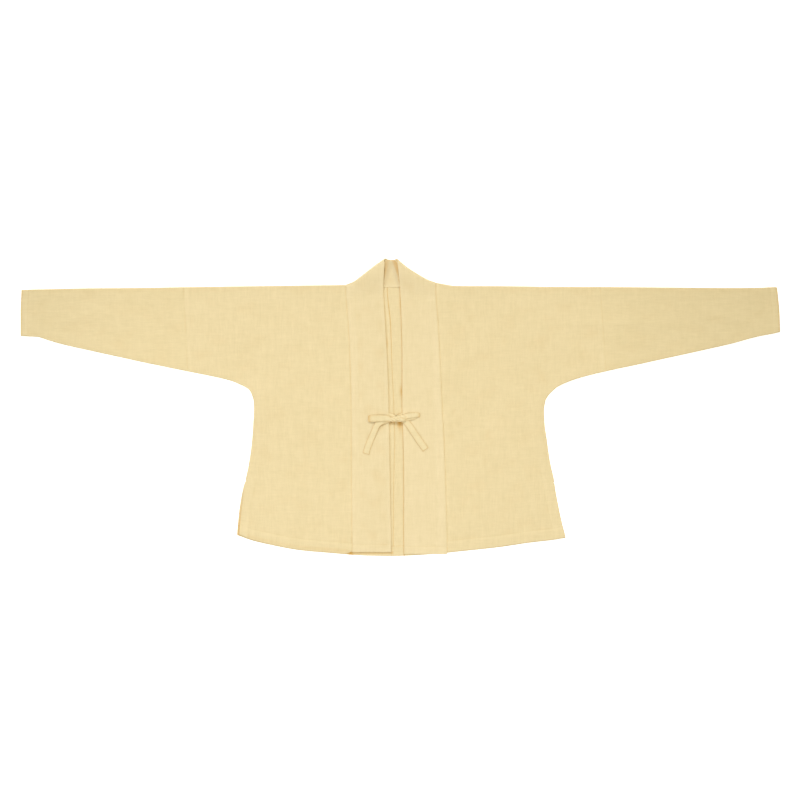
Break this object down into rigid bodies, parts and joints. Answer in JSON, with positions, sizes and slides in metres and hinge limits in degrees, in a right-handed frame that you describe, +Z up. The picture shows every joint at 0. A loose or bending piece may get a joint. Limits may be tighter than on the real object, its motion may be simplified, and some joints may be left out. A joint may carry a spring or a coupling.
{
  "type": "hanfu top",
  "caption": "Short open-front cloth top with a straight collar band, wide tapering sleeves and a tied bow at the chest, laid flat with its front up.",
  "frame": {"origin": "middle of the bounding box, on the surface that the top lies on", "axes": "+X towards the wearer's left cuff, along the longest extent. +Y towards the neck. +Z up off the surface, out of the front of the top"},
  "size_m": [1.7087, 0.6696, 0.0139],
  "materials": {
    "body": "matt plain-woven cloth with fine slubs, pale butter yellow",
    "sleeve": "the same matt cloth, a little deeper towards the cuffs",
    "collar": "the same matt cloth, doubled and pressed",
    "tie": "the same matt cloth, sewn into a narrow flat tie"
  },
  "bodies": {
    "root": {"body_right": "body", "body_left": "body", "sleeve_right": "sleeve", "sleeve_left": "sleeve", "collar": "collar", "tie_root_right": "tie", "tie_root_left": "tie", "bow_loop_right": "tie", "bow_loop_left": "tie", "bow_knot": "tie", "tie_tail_right": "tie", "tie_tail_left": "tie"}
  },
  "joints": []
}
